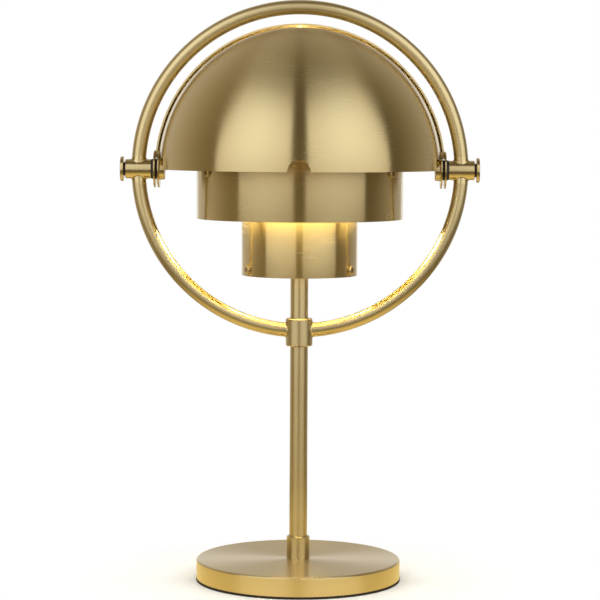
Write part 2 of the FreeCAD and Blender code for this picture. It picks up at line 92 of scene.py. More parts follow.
class LampShapes(bpy.types.PropertyGroup):
    """Sizes of the pieces that are shaped here."""

    pivot_height: length("Pivot height", "Height of the shades' pivots over the table", PIVOT_HEIGHT)
    sheet: length("Sheet", "Thickness of the shades' sheet", 1.5 * MM)
    ear_radius: length("Ear radius", "Radius of the flat ears", half_size("front_ear_right", 2))
    front_ear_face: length("Front ear", "Distance of the front ears' inner faces from the middle",
                           span("front_ear_right", 0)[0])
    back_ear_face: length("Back ear", "Distance of the back ears' inner faces from the middle",
                          span("back_ear_right", 0)[0])
    notch_radius: length("Notch radius", "Radius of the half-round notch in a shade's rim", 9.6 * MM)
    relief_height: length("Relief height", "Height of the cut over the pivot nuts", 9.7 * MM)
    relief_reach: length("Relief reach", "Distance of the cut from the middle",
                         span("pivot_nut_right", 0)[0] - 0.4 * MM)
    cylinder_wall: length("Cylinder wall", "Wall of the two open cylinders", 1.2 * MM)
    rim_round: length("Rim round", "Rounding of the cylinders' rims", 0.35 * MM)
    hoop_wall: length("Hoop wall", "Wall of the hoop's bent tube", 1.4 * MM)
    thread_depth: length("Thread depth", "Depth of the threads on the holder, cap and pins", 0.5 * MM)


class LampFinishes(bpy.types.PropertyGroup):
    """Colours and surface of the finishes."""

    brass: colour("Brass", "Colour of the brushed brass", (0.60, 0.48, 0.26, 1.0))
    brass_sheen: share("Brass roughness", "Roughness of the brushed brass", 0.26)
    brass_smear: share("Brush smear", "How far the brushing draws a reflection out", 1.0)
    rubber: colour("Foot pad", "Colour of the pad under the foot", (0.016, 0.012, 0.009, 1.0))
    nylon: colour("Washers", "Colour of the black washers", (0.020, 0.018, 0.016, 1.0))
    resin: colour("Lamp holder", "Colour of the moulded lamp holder", (0.80, 0.77, 0.68, 1.0))
    glow: colour("Bulb light", "Colour of the lit bulb", (0.90, 0.95, 0.74, 1.0))
    glow_strength: bpy.props.FloatProperty(name="Bulb strength", description="Strength of the lit bulb",
                                           default=80.0, min=0.0, max=200.0)


class LampStage(bpy.types.PropertyGroup):
    """The studio around the lamp."""

    floor: colour("Floor", "Colour of the pale floor", (0.94, 0.94, 0.93, 1.0))
    softbox: bpy.props.FloatProperty(name="Softboxes", description="Strength of the two softboxes",
                                     default=1.5, min=0.0, max=20.0)
    fill: bpy.props.FloatProperty(name="Fill light", description="Strength of the light from all round",
                                  default=0.90, min=0.0, max=5.0)
    lens: bpy.props.FloatProperty(name="Lens", description="Focal length of the camera",
                                  default=135.02, min=20.0, max=300.0, subtype="DISTANCE_CAMERA")


# -------------------------------------------------------------- shader wiring
class Signal:
    """A shader value. Arithmetic on it adds the Math node that works it out."""

    def __init__(self, recipe, socket):
        self.recipe = recipe
        self.socket = socket

    def through(self, operation, *values):
        """What one Math node makes of the values."""
        return self.recipe.signal("ShaderNodeMath", {"operation": operation}, dict(enumerate(values)))

    def __add__(self, other):
        return self.through("ADD", self, other)

    def __radd__(self, other):
        return self.through("ADD", other, self)

    def __sub__(self, other):
        return self.through("SUBTRACT", self, other)

    def __rsub__(self, other):
        return self.through("SUBTRACT", other, self)

    def __mul__(self, other):
        return self.through("MULTIPLY", self, other)

    def __rmul__(self, other):
        return self.through("MULTIPLY", other, self)

    def __truediv__(self, other):
        return self.through("DIVIDE", self, other)

    def __rtruediv__(self, other):
        return self.through("DIVIDE", other, self)

    def __pow__(self, other):
        return self.through("POWER", self, other)

    def __rpow__(self, other):
        return self.through("POWER", other, self)

    def __abs__(self):
        return self.through("ABSOLUTE", self)

    def at_most(self, other):
        """The smaller of the two."""
        return self.through("MINIMUM", self, other)

    def at_least(self, other):
        """The larger of the two."""
        return self.through("MAXIMUM", self, other)

    def between(self, low, high):
        """Nothing below low, one above high and a smooth run between them."""
        return self.recipe.signal("ShaderNodeMapRange", {"interpolation_type": "SMOOTHSTEP"},
                                  {"Value": self, "From Min": low, "From Max": high})


class Recipe:
    """The nodes of one finish, of a stage surface or of the world."""

    def __init__(self, owner):
        owner.use_nodes = True
        self.owner = owner
        self.tree = owner.node_tree
        self.tree.nodes.clear()

    def node(self, kind, settings=None, sockets=None):
        """A node of any kind: its settings first, then the values or links of its sockets."""
        made = self.tree.nodes.new(kind)
        for name, value in (settings or {}).items():
            setattr(made, name, value)
        for name, value in (sockets or {}).items():
            self.plug(made.inputs[name], value)
        return made

    def plug(self, socket, value):
        """Links a signal or another node's socket to a socket, or sets a plain value on it."""
        if isinstance(value, Signal):
            value = value.socket
        if isinstance(value, bpy.types.NodeSocket):
            self.tree.links.new(value, socket)
        else:
            socket.default_value = value

    def signal(self, kind, settings=None, sockets=None, output=0):
        """One output of a new node, as a signal."""
        return Signal(self, self.node(kind, settings, sockets).outputs[output])

    def place(self, height=0.0):
        """Object coordinates as three signals, with the height counted from a level."""
        coordinates = self.node("ShaderNodeTexCoord").outputs["Object"]
        centred = self.node("ShaderNodeMapping", {"vector_type": "POINT"},
                            {"Vector": coordinates, "Location": (0.0, 0.0, -height)})
        parts = self.node("ShaderNodeSeparateXYZ", {}, {0: centred.outputs[0]})
        return [Signal(self, parts.outputs[k]) for k in range(3)]

    def vector(self, x, y, z):
        """Three signals as one vector."""
        return self.node("ShaderNodeCombineXYZ", {}, {0: x, 1: y, 2: z}).outputs[0]

    def noise(self, vector, scale=1.0, detail=2.0, roughness=0.5):
        """Cloudy noise, with scale clouds to the metre."""
        return self.signal("ShaderNodeTexNoise", {"noise_dimensions": "3D"},
                           {"Vector": vector, "Scale": scale, "Detail": detail, "Roughness": roughness})

    def cells(self, vector, scale):
        """Distance from the middle of the nearest of scale cells to the metre."""
        return self.signal("ShaderNodeTexVoronoi", {"feature": "F1"}, {"Vector": vector, "Scale": scale})

    def tint(self, factor, first, second):
        """A colour between two colours."""
        made = self.node("ShaderNodeMix", {"data_type": "RGBA"}, {0: factor, 6: first, 7: second})
        return made.outputs[2]

    def relief(self, height, depth):
        """Normals of a surface that a signal raises by up to a depth in metres."""
        return self.node("ShaderNodeBump", {}, {"Height": height, "Distance": depth}).outputs[0]

    def result(self, shader, output="ShaderNodeOutputMaterial"):
        """Makes a shader the result and gives back what wears it."""
        self.node(output, {}, {"Surface": shader.outputs[0]})
        return self.owner

    def surface(self, values):
        """The surface shader, with its values or links by socket name, as the result."""
        return self.result(self.node("ShaderNodeBsdfPrincipled", {}, values))

    def shining(self, tone, brightness):
        """A surface that only gives light, in a colour that a signal makes stronger or weaker."""
        light = self.node("ShaderNodeVectorMath", {"operation": "SCALE"}, {0: tone, "Scale": brightness})
        return self.result(self.node("ShaderNodeEmission", {}, {"Color": light.outputs[0], "Strength": 1.0}))


def new_recipe(name):
    """An empty finish with its nodes."""
    return Recipe(bpy.data.materials.new(name))


def shaded(tone, amount):
    """A colour made lighter or darker by a share."""
    return tuple(min(1.0, value * amount) for value in tone[:3]) + (1.0,)


def off_axis(first, second):
    """Distance from an axis, from the two coordinates that lie across it."""
    return (first * first + second * second) ** 0.5


# ------------------------------------------------------------- brushing lays
# Each gives two coordinates that change slowly along the lines, and one that counts them.
def around_upright(recipe, height):
    """Grain that runs round the lamp's upright axis, on walls and flat tops alike."""
    x, y, z = recipe.place(height)
    return x, y, z - off_axis(x, y)


def around_dome(recipe, height):
    """Grain in rings of latitude round the top of a dome."""
    dome_radius = 0.12
    x, y, z = recipe.place(height)
    latitude = z.through("ARCTAN2", z, off_axis(x, y))
    return x, y, latitude * dome_radius


def around_pivots(recipe, height):
    """Grain that runs round the pivot axis."""
    x, y, z = recipe.place(height)
    return z, y, abs(x) - off_axis(y, z)


def along_hoop(recipe, height):
    """Grain that follows the hoop's tube and is counted on a slant across it."""
    x, y, z = recipe.place(height)
    return z, x * 0.5, off_axis(x, z) * 0.8 + y * 0.6


# Streaks to the metre, along the brushing and across it, and how deep they are.
FINE_STREAKS = (45, 2600)
WIDE_STREAKS = (16, 620)
CLOUDS = (14, 18)
BRUSH_DEPTH = 0.0004 * MM


def brushed_brass(name, finishes, lay, level, smear=None, sheen=None, depth=BRUSH_DEPTH,
                  pitch=1.0, grain=1.0):
    """Satin brass: fine brushed lines, uneven lacquer and a soft change of colour."""
    recipe = new_recipe(name)
    first, second, across = lay(recipe, level)

    def streaks(counts, pitch, detail):
        """Noise drawn out along the brushing."""
        along, over = counts
        return recipe.noise(recipe.vector(first * along, second * along, across * (over * pitch)),
                            detail=detail)

    fine = streaks(FINE_STREAKS, pitch, 2.0)
    wide = streaks(WIDE_STREAKS, pitch, 1.0)
    cloud = streaks(CLOUDS, 1.0, 2.0)
    streak = (fine * 0.6 + wide * 0.4 - 0.5) * grain + 0.5
    tone = recipe.tint((cloud * 0.7 + streak * 0.5 - 0.1).at_least(0.0).at_most(1.0),
                       shaded(finishes.brass, 0.93), shaded(finishes.brass, 1.06))
    sheen = finishes.brass_sheen if sheen is None else sheen
    rough = (streak - 0.5) * 0.06 + (cloud - 0.5) * 0.08 + sheen
    return recipe.surface({
        "Base Color": tone,
        "Metallic": 1.0,
        "Roughness": rough,
        "Anisotropic": finishes.brass_smear if smear is None else smear,
        "Anisotropic Rotation": 0.25,
        "Normal": recipe.relief(streak, depth),
    })


def matt_brass(finishes):
    """The cylinders' insides and the shades' cut edges: matt brass, which spreads the light."""
    recipe = new_recipe("matt_brass")
    x, y, z = recipe.place()
    place = recipe.vector(x, y, z)
    grain = recipe.noise(place, 1800.0, 3.0, 0.6)
    cloud = recipe.noise(place, 22.0, 2.0)
    tone = recipe.tint(cloud, shaded(finishes.brass, 1.15), shaded(finishes.brass, 1.28))
    return recipe.surface({"Base Color": tone, "Metallic": 0.4, "Roughness": grain * 0.12 + 0.56,
                           "Normal": recipe.relief(grain, 0.006 * MM)})


def bare_brass(finishes):
    """Turned brass without lacquer, a little darker in patches."""
    recipe = new_recipe("turned_brass")
    x, y, run = around_upright(recipe, 0.0)
    lines = recipe.noise(recipe.vector(x * 60, y * 60, run * 2400))
    patch = recipe.noise(recipe.vector(x * 120, y * 120, run * 120), detail=3.0)
    tone = recipe.tint(patch, (0.46, 0.31, 0.13, 1.0), (0.68, 0.51, 0.24, 1.0))
    return recipe.surface({"Base Color": tone, "Metallic": 1.0, "Roughness": patch * 0.25 + 0.2,
                           "Normal": recipe.relief(lines, 0.003 * MM)})


def zinc_steel(name, shade):
    """Zinc-plated steel with its faint crystals and turned lines."""
    recipe = new_recipe(name)
    x, y, run = around_upright(recipe, 0.0)
    place = recipe.vector(x * 1000, y * 1000, run * 1000)
    crystal = recipe.cells(place, 0.55)
    lines = recipe.noise(recipe.vector(x * 80, y * 80, run * 2200))
    tone = recipe.tint(crystal.at_most(1.0), shaded((0.55, 0.56, 0.58), shade),
                       shaded((0.70, 0.70, 0.68), shade))
    return recipe.surface({"Base Color": tone, "Metallic": 1.0, "Roughness": crystal * 0.12 + 0.24,
                           "Normal": recipe.relief(lines, 0.003 * MM)})


def primed_iron():
    """Rough cast iron under grey primer."""
    recipe = new_recipe("primed_iron")
    x, y, z = recipe.place()
    place = recipe.vector(x, y, z)
    sand = recipe.noise(place, 900.0, 4.0, 0.65)
    blotch = recipe.noise(place, 60.0, 2.0)
    tone = recipe.tint(blotch, (0.10, 0.10, 0.105, 1.0), (0.20, 0.20, 0.20, 1.0))
    return recipe.surface({"Base Color": tone, "Roughness": sand * 0.2 + 0.6,
                           "Normal": recipe.relief(sand, 0.2 * MM)})


def black_nylon(finishes):
    """Punched nylon sheet: matt, with a fine grain and paler scuffs."""
    recipe = new_recipe("nylon_sheet")
    x, y, z = recipe.place()
    place = recipe.vector(x, y, z)
    grain = recipe.noise(place, 2600.0, 2.0)
    scuff = recipe.noise(place, 260.0, 3.0).between(0.55, 0.75)
    tone = recipe.tint(scuff * 0.5, finishes.nylon, shaded(finishes.nylon, 2.2))
    return recipe.surface({"Base Color": tone, "Roughness": grain * 0.2 + 0.42,
                           "Normal": recipe.relief(grain, 0.02 * MM)})


def foam_rubber(finishes):
    """Closed-cell rubber: small open cells and a dusty bloom."""
    recipe = new_recipe("foam_rubber")
    x, y, z = recipe.place()
    place = recipe.vector(x, y, z)
    cell = recipe.cells(place, 1500.0)
    dust = recipe.noise(place, 140.0, 3.0)
    tone = recipe.tint(dust * 0.6, finishes.rubber, shaded(finishes.rubber, 2.4))
    return recipe.surface({"Base Color": tone, "Roughness": dust * 0.15 + 0.78,
                           "Specular IOR Level": 0.3, "Normal": recipe.relief(cell, 0.12 * MM)})


def lead_sheath():
    """The twin wire's sheath, smooth with a slight dimple from the strands."""
    recipe = new_recipe("wire_sheath")
    x, y, z = recipe.place()
    strand = recipe.noise(recipe.vector(x * 900, y * 900, z * 120), detail=1.0)
    tone = recipe.tint(strand, (0.66, 0.63, 0.55, 1.0), (0.80, 0.78, 0.71, 1.0))
    return recipe.surface({"Base Color": tone, "Roughness": strand * 0.2 + 0.35,
                           "Normal": recipe.relief(strand, 0.05 * MM)})


def moulded_resin(name, tone, level):
    """Moulded lamp-holder resin, faintly speckled, with fine mould grain."""
    recipe = new_recipe(name)
    x, y, z = recipe.place(level)
    place = recipe.vector(x, y, z)
    grain = recipe.noise(place, 2200.0, 2.0)
    cloud = recipe.noise(place, 90.0, 2.0)
    mixed = recipe.tint(cloud, shaded(tone, 0.92), shaded(tone, 1.04))
    return recipe.surface({"Base Color": mixed, "Roughness": grain * 0.15 + 0.36,
                           "Normal": recipe.relief(grain, 0.01 * MM)})


def fired_ceramic():
    """Unglazed ceramic core of the lamp holder."""
    recipe = new_recipe("fired_ceramic")
    x, y, z = recipe.place()
    place = recipe.vector(x, y, z)
    grain = recipe.noise(place, 1400.0, 4.0, 0.7)
    tone = recipe.tint(grain, (0.70, 0.67, 0.59, 1.0), (0.84, 0.82, 0.76, 1.0))
    return recipe.surface({"Base Color": tone, "Roughness": grain * 0.2 + 0.6,
                           "Normal": recipe.relief(grain, 0.04 * MM)})


def opal_glass(finishes, level):
    """Lit opal glass: brightest where it is seen face on, softer towards its rim."""
    recipe = new_recipe("lit_opal")
    x, y, z = recipe.place(level)
    swirl = recipe.noise(recipe.vector(x * 60, y * 60, z * 60), detail=2.0)
    facing = recipe.signal("ShaderNodeLayerWeight", {}, {"Blend": 0.5}, "Facing")
    tone = recipe.tint((facing * 0.55 + swirl * 0.1).at_most(1.0), finishes.glow,
                       shaded(finishes.glow, 0.55))
    return recipe.surface({"Base Color": (0.9, 0.88, 0.82, 1.0), "Roughness": swirl * 0.05 + 0.12,
                           "Emission Color": tone, "Emission Strength": finishes.glow_strength,
                           "Coat Weight": 0.3, "Normal": recipe.relief(swirl, 0.02 * MM)})


def plated_cap():
    """Nickel-plated screw cap with a slight tarnish in the thread."""
    recipe = new_recipe("nickel_plate")
    x, y, run = around_upright(recipe, 0.0)
    tarnish = recipe.noise(recipe.vector(x * 400, y * 400, run * 900), detail=3.0)
    tone = recipe.tint(tarnish, (0.50, 0.47, 0.42, 1.0), (0.75, 0.74, 0.71, 1.0))
    return recipe.surface({"Base Color": tone, "Metallic": 1.0, "Roughness": tarnish * 0.2 + 0.15,
                           "Normal": recipe.relief(tarnish, 0.01 * MM)})


# ---------------------------------------------------------------- mesh tools
WELD = 0.001 * MM
ROUND_STEPS = 3

# Corners of a thread's ridge: shares of its depth outwards, and of its pitch upwards.
THREAD_RIDGE = ((-0.3, 0.0), (1.0, 0.36), (1.0, 0.52), (-0.3, 0.88))


def wire(shape, points, closed):
    """Vertices joined by edges in order."""
    corners = [shape.verts.new(point) for point in points]
    for first, second in zip(corners, corners[1:] + corners[:1] if closed else corners[1:]):
        shape.edges.new((first, second))
    return corners


def round_corners(shape, corners, width, segments):
    """Rounds corners of a wire outline before it is spun."""
    bmesh.ops.bevel(shape, geom=corners, offset=width, offset_type="OFFSET", segments=segments,
                    profile=0.5, affect="VERTICES", material=-1)


def everything(shape):
    """All vertices, edges and faces of a mesh under work."""
    return shape.verts[:] + shape.edges[:] + shape.faces[:]


def outward_faces(shape):
    """Merges what lies together and turns every face outwards."""
    bmesh.ops.remove_doubles(shape, verts=shape.verts, dist=WELD)
    bmesh.ops.recalc_face_normals(shape, faces=shape.faces)


def turned_piece(outline, steps, rounding=0.0, rounded=None):
    """Solid of revolution about the lamp's upright axis from a closed outline of (radius, height)."""
    shape = bmesh.new()
    corners = wire(shape, [(radius, 0.0, height) for radius, height in outline], outline[0][0] > 0.0)
    if rounding:
        round_corners(shape, [corners[k] for k in rounded or range(len(corners))], rounding, ROUND_STEPS)
    bmesh.ops.spin(shape, geom=shape.verts[:] + shape.edges[:], cent=(0, 0, 0), axis=(0, 0, 1),
                   angle=math.tau, steps=steps, use_merge=True)
    outward_faces(shape)
    return shape


def screw_thread(shape, core, depth, low, high, pitch, steps=40):
    """Helical ridge round the upright axis, between two heights, set into a core."""
    ridge = bmesh.new()
    ridge.faces.new([ridge.verts.new((core + depth * out, 0.0, low + pitch * up))
                     for out, up in THREAD_RIDGE])
    turns = (high - low) / pitch - 1
    count = max(1, round(turns * steps))
    bmesh.ops.spin(ridge, geom=everything(ridge), cent=(0, 0, 0), axis=(0, 0, 1),
                   angle=math.tau * count / steps, steps=count, dvec=(0, 0, pitch / steps))
    bmesh.ops.recalc_face_normals(ridge, faces=ridge.faces)
    carry(ridge, shape)


def carry(source, target):
    """Adds one mesh under work to another."""
    mesh = bpy.data.meshes.new("carried")
    source.to_mesh(mesh)
    source.free()
    target.from_mesh(mesh)
    bpy.data.meshes.remove(mesh)


def stood(shape, turn, move):
    """Turns and moves a whole mesh under work."""
    bmesh.ops.transform(shape, matrix=Matrix.Translation(move) @ turn, verts=shape.verts)


def cut_away(shape, cutter):
    """The shape without what the cutter covers."""
    pair = []
    for name, work in (("body", shape), ("cutter", cutter)):
        mesh = bpy.data.meshes.new(name)
        work.to_mesh(mesh)
        work.free()
        item = bpy.data.objects.new(name, mesh)
        bpy.context.scene.collection.objects.link(item)
        pair.append(item)
    body, tool = pair
    cut = body.modifiers.new("cut", "BOOLEAN")
    cut.operation = "DIFFERENCE"
    cut.solver = "EXACT"
    cut.object = tool
    bpy.context.view_layer.update()
    result = bmesh.new()
    result.from_object(body, bpy.context.evaluated_depsgraph_get())
    for item in pair:
        mesh = item.data
        bpy.data.objects.remove(item)
        bpy.data.meshes.remove(mesh)
    return result


def finished(name, shape, body, finish, stands_for=(), crease=35.0):
    """Makes a piece of the mesh, gives it its finish and lets it ride on a body."""
    mesh = bpy.data.meshes.new(name)
    shape.to_mesh(mesh)
    shape.free()
    mesh.shade_smooth()
    mesh.set_sharp_from_angle(angle=math.radians(crease))
    mesh.materials.append(finish)
    piece = bpy.data.objects.new(name, mesh)
    bpy.context.scene.collection.objects.link(piece)
    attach(piece, body)
    if stands_for:
        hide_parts(*stands_for)
    return piece


def matt_faces(piece, chosen):
    """Puts the matt finish on the chosen faces."""
    piece.data.materials.append(finish_named("matt_brass"))
    for face in piece.data.polygons:
        face.material_index = int(chosen(face))


def dress(node, finish):
    """Gives a carried-over frame node its finish."""
    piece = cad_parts[node]
    piece.data.materials.clear()
    piece.data.materials.append(finish)


def finish_named(name):
    """A finish that Make Finishes has made."""
    found = bpy.data.materials.get(name)
    if found is None:
        raise RuntimeError("the finish " + name + " isn't made yet; run Make Finishes first")
    return found


# ------------------------------------------------------------------- shades
SHADE_STEPS = 126
QUARTER_STEPS = 72
NOTCH_STEPS = 96
CUTTER_SPARE = 10 * MM


def shade_shell(shapes, ear_face, way):
    """Quarter sphere of sheet between its ears. way is 1 for the front shade and -1 for the back one."""
    outside = math.hypot(ear_face, shapes.ear_radius)
    inside = outside - shapes.sheet
    centre = Vector((0, 0, shapes.pivot_height))
    low = shapes.relief_height
    inner_x = math.sqrt(inside ** 2 - low ** 2)
    shell = bmesh.new()
    tilt = math.atan2(shapes.ear_radius, ear_face)
    start = shell.verts.new(centre + Vector((-ear_face, 0, shapes.ear_radius)))
    bmesh.ops.spin(shell, geom=[start], cent=centre, axis=(0, 1, 0), angle=math.pi - 2 * tilt,
                   steps=SHADE_STEPS)
    ends = [vert for vert in shell.verts if len(vert.link_edges) == 1]
    for end in ends:
        foot = shell.verts.new((end.co.x, 0, shapes.pivot_height + low))
        shell.edges.new((end, foot))
    steps = len(shell.edges)
    tilt = math.atan2(low, inner_x)
    start = shell.verts.new(centre + Vector((-inner_x, 0, low)))
    bmesh.ops.spin(shell, geom=[start], cent=centre, axis=(0, 1, 0), angle=math.pi - 2 * tilt,
                   steps=steps)
    bmesh.ops.bridge_loops(shell, edges=shell.edges[:])
    bmesh.ops.spin(shell, geom=everything(shell), cent=centre, axis=(1, 0, 0), angle=way * math.pi / 2,
                   steps=QUARTER_STEPS)
    outward_faces(shell)

    cutter = bmesh.new()
    bmesh.ops.create_cone(cutter, cap_ends=True, segments=NOTCH_STEPS, radius1=shapes.notch_radius,
                          radius2=shapes.notch_radius, depth=outside)
    stood(cutter, Matrix.Rotation(math.pi / 2, 4, "X"), centre - Vector((0, way * outside, 0)))
    for side in (-1, 1):
        block = bmesh.ops.create_cube(cutter, size=1.0)["verts"]
        width = outside - shapes.relief_reach + CUTTER_SPARE
        bmesh.ops.scale(cutter, vec=(width, outside * 3, low * 2), verts=block)
        bmesh.ops.translate(cutter, vec=centre + Vector((side * (shapes.relief_reach + width / 2), 0, 0)),
                            verts=block)
    return cut_away(shell, cutter), outside


class LAMP_OT_shades(bpy.types.Operator):
    """Spin the two quarter-sphere shades of sheet brass and cut their notches"""

    bl_idname = "lamp.spin_shades"
    bl_label = "Spin Shades"

    def execute(self, context):
        shapes = context.scene.lamp_shapes
        for name, ear_face, way in (("front", shapes.front_ear_face, 1), ("back", shapes.back_ear_face, -1)):
            shell, outside = shade_shell(shapes, ear_face, way)
            piece = finished(name + "_shade_shell", shell, name + "_dome", finish_named("shade_brass"),
                             (name + "_shade",), 30.0)
            piece.data.use_auto_texspace = False
            piece.data.texspace_location = (0.0, 0.0, shapes.pivot_height)
            piece.data.texspace_size = (outside, outside, outside)
            centre = Vector((0, 0, shapes.pivot_height))
            matt_faces(piece, lambda face: abs(face.normal.dot((face.center - centre).normalized())) < 0.5)
        return {"FINISHED"}


class LAMP_OT_cylinders(bpy.types.Operator):
    """Turn the two open cylinders with rounded rims"""

    bl_idname = "lamp.turn_cylinders"
    bl_label = "Turn Cylinders"

    def execute(self, context):
        shapes = context.scene.lamp_shapes
        for name in ("middle", "inner"):
            node = name + "_cylinder"
            radius = half_size(node, 0)
            low, high = span(node, 2)
            inside = radius - shapes.cylinder_wall
            outline = [(inside, low), (radius, low), (radius, high), (inside, high)]
            wall = turned_piece(outline, 256, shapes.rim_round)
            piece = finished(name + "_cylinder_wall", wall, "stand", finish_named("cylinder_brass"),
                             (node,), 50.0)
            matt_faces(piece, lambda face: face.normal.xy.dot(face.center.xy.normalized()) < -0.7)
        return {"FINISHED"}


class LAMP_OT_hoop(bpy.types.Operator):
    """Bend the hoop's three lengths of tube between the hubs and the collar"""

    bl_idname = "lamp.bend_hoop"
    bl_label = "Bend Hoop"

    def execute(self, context):
        shapes = context.scene.lamp_shapes
        centre = Vector((0, 0, shapes.pivot_height))
        low, high = span("ring_upper_arc", 2)
        tube = half_size("ring_upper_arc", 1)
        radius = high - shapes.pivot_height - tube
        hub = math.asin((low - shapes.pivot_height) / (radius - tube))
        collar = math.asin(-span("ring_lower_left_arc", 0)[1] / (radius - tube))
        low_point = math.pi * 1.5
        for name, start, end in (("upper", hub, math.pi - hub),
                                 ("lower_left", math.pi + hub, low_point - collar),
                                 ("lower_right", low_point + collar, math.tau - hub)):
            bend = bmesh.new()
            for reach in (tube, tube - shapes.hoop_wall):
                bmesh.ops.create_circle(bend, cap_ends=False, segments=64, radius=reach)
            bmesh.ops.bridge_loops(bend, edges=bend.edges[:])
            bmesh.ops.translate(bend, vec=(radius, 0, 0), verts=bend.verts)
            stood(bend, Matrix.Rotation(-start, 4, "Y"), centre)
            bmesh.ops.spin(bend, geom=everything(bend), cent=centre, axis=(0, -1, 0), angle=end - start,
                           steps=round(math.degrees(end - start) / 1.2))
            outward_faces(bend)
            finished("bent_tube_" + name, bend, "stand", finish_named("hoop_brass"),
                     ("ring_" + name + "_arc",), 50.0)
        return {"FINISHED"}


# --------------------------------------------------------------- lamp holder
SKIRT_WALL = 1.2 * MM
SKIRT_ROUND = 0.15 * MM
SKIRT_START = 1.0 * MM
SKIRT_PITCH = 2.5 * MM
RING_GAP = 0.05 * MM
RING_ROUND = 0.6 * MM
RING_STEPS = 120
KNURL_STEPS = 3
KNURL_DEPTH = 0.5 * MM


class LAMP_OT_holder(bpy.types.Operator):
    """Shape the threaded skirt of the lamp holder and its two knurled rings"""

    bl_idname = "lamp.shape_holder"
    bl_label = "Shape Lamp Holder"

    def execute(self, context):
        shapes = context.scene.lamp_shapes
        depth = shapes.thread_depth
        radius = half_size("holder_skirt", 0)
        low, high = span("holder_skirt", 2)
        core = radius - depth
        outline = [(radius - SKIRT_WALL, low), (core, low), (core, high), (radius - SKIRT_WALL, high)]
        skirt = turned_piece(outline, 96, SKIRT_ROUND)
        screw_thread(skirt, core, depth, low + SKIRT_START, high, SKIRT_PITCH)
        finished("holder_threaded_skirt", skirt, "stand", finish_named("speckled_resin"),
                 ("holder_skirt",))
        for name in ("lower", "upper"):
            node = "shade_ring_" + name
            outside = half_size(node, 0)
            low, high = span(node, 2)
            inside = radius + RING_GAP
            ring = turned_piece([(inside, low), (outside, low), (outside, high), (inside, high)],
                                RING_STEPS, RING_ROUND, (1, 2))
            for vert in ring.verts:
                reach = vert.co.xy.length
                step = round(math.atan2(vert.co.y, vert.co.x) / math.tau * RING_STEPS)
                if reach > outside - RING_ROUND - WELD and step % KNURL_STEPS == 0:
                    vert.co.xy *= (reach - KNURL_DEPTH) / reach
            finished("knurled_ring_" + name, ring, "stand", finish_named("speckled_resin"),
                     (node,))
        return {"FINISHED"}


# ---------------------------------------------------------------------- bulb
GLOBE_NECK = 8.2 * MM
CAP_COLLAR = 3.0 * MM
CAP_THREAD = 6.9 * MM
CAP_ROUND = 0.3 * MM
CAP_START = 0.5 * MM
CAP_PITCH = 2.8 * MM


class LAMP_OT_bulb(bpy.types.Operator):
    """Blow the opal globe and roll the thread of its screw cap"""

    bl_idname = "lamp.make_bulb"
    bl_label = "Make Bulb"

    def execute(self, context):
        shapes = context.scene.lamp_shapes
        radius = half_size("bulb_glass", 0)
        low, high = span("bulb_glass", 2)
        centre = high - radius
        drop = centre - low
        lean = math.atan2(drop, GLOBE_NECK) - math.acos(radius / math.hypot(drop, GLOBE_NECK))
        globe = bmesh.new()
        start = globe.verts.new((0, 0, high))
        bmesh.ops.spin(globe, geom=[start], cent=(0, 0, centre), axis=(0, 1, 0),
                       angle=math.pi / 2 + lean, steps=48)
        end = max(globe.verts, key=lambda vert: vert.co.x if len(vert.link_edges) == 1 else -1.0)
        foot = globe.verts.new((GLOBE_NECK, 0, low))
        middle = globe.verts.new((0, 0, low))
        globe.edges.new((end, foot))
        globe.edges.new((foot, middle))
        bmesh.ops.spin(globe, geom=globe.verts[:] + globe.edges[:], cent=(0, 0, 0), axis=(0, 0, 1),
                       angle=math.tau, steps=96, use_merge=True)
        outward_faces(globe)
        finished("opal_globe", globe, "stand", finish_named("lit_opal"), ("bulb_glass",))

        low, high = span("bulb_cap", 2)
        depth = shapes.thread_depth
        collar = half_size("bulb_cap", 0)
        top = high - CAP_COLLAR
        core = CAP_THREAD - depth
        outline = [(0.0, low), (core, low), (core, top), (collar, top), (collar, high), (0.0, high)]
        cap = turned_piece(outline, 72, CAP_ROUND, (1, 3, 4))
        screw_thread(cap, core, depth, low + CAP_START, top, CAP_PITCH)
        finished("screw_cap", cap, "stand", finish_named("nickel_plate"), ("bulb_cap",))
        return {"FINISHED"}


# -------------------------------------------------------------------- pivots
PIN_THREAD = 7.0 * MM
PIN_START = 1.0 * MM
PIN_PITCH = 1.0 * MM
PIN_ROUND = 0.2 * MM
SLOT_WIDTH = 0.8 * MM
SLOT_DEPTH = 0.8 * MM


class LAMP_OT_pivots(bpy.types.Operator):
    """Cut the pivot pins, with threaded ends and a screwdriver slot"""

    bl_idname = "lamp.cut_pivot_pins"
    bl_label = "Cut Pivot Pins"

    def execute(self, context):
        shapes = context.scene.lamp_shapes
        for name, side in zip(SIDES, (-1, 1)):
            node = "pivot_pin_" + name
            near, far = sorted(abs(x) for x in span(node, 0))
            radius = half_size(node, 2)
            depth = shapes.thread_depth * 0.6
            core = radius - depth
            shank = near + PIN_THREAD
            outline = [(0.0, near), (core, near), (core, shank), (radius, shank), (radius, far), (0.0, far)]
            pin = turned_piece(outline, 48, PIN_ROUND, (1, 4))
            slot = bmesh.new()
            bmesh.ops.create_cube(slot, size=1.0)
            bmesh.ops.scale(slot, vec=(radius * 3, SLOT_WIDTH, SLOT_DEPTH * 2), verts=slot.verts)
            bmesh.ops.translate(slot, vec=(0, 0, near), verts=slot.verts)
            pin = cut_away(pin, slot)
            screw_thread(pin, core, depth, near + PIN_START, shank, PIN_PITCH, 32)
            stood(pin, Matrix.Rotation(side * math.pi / 2, 4, "Y"), (0, 0, shapes.pivot_height))
            finished("threaded_pin_" + name, pin, "stand", finish_named("pin_steel"),
                     (node,))
        return {"FINISHED"}


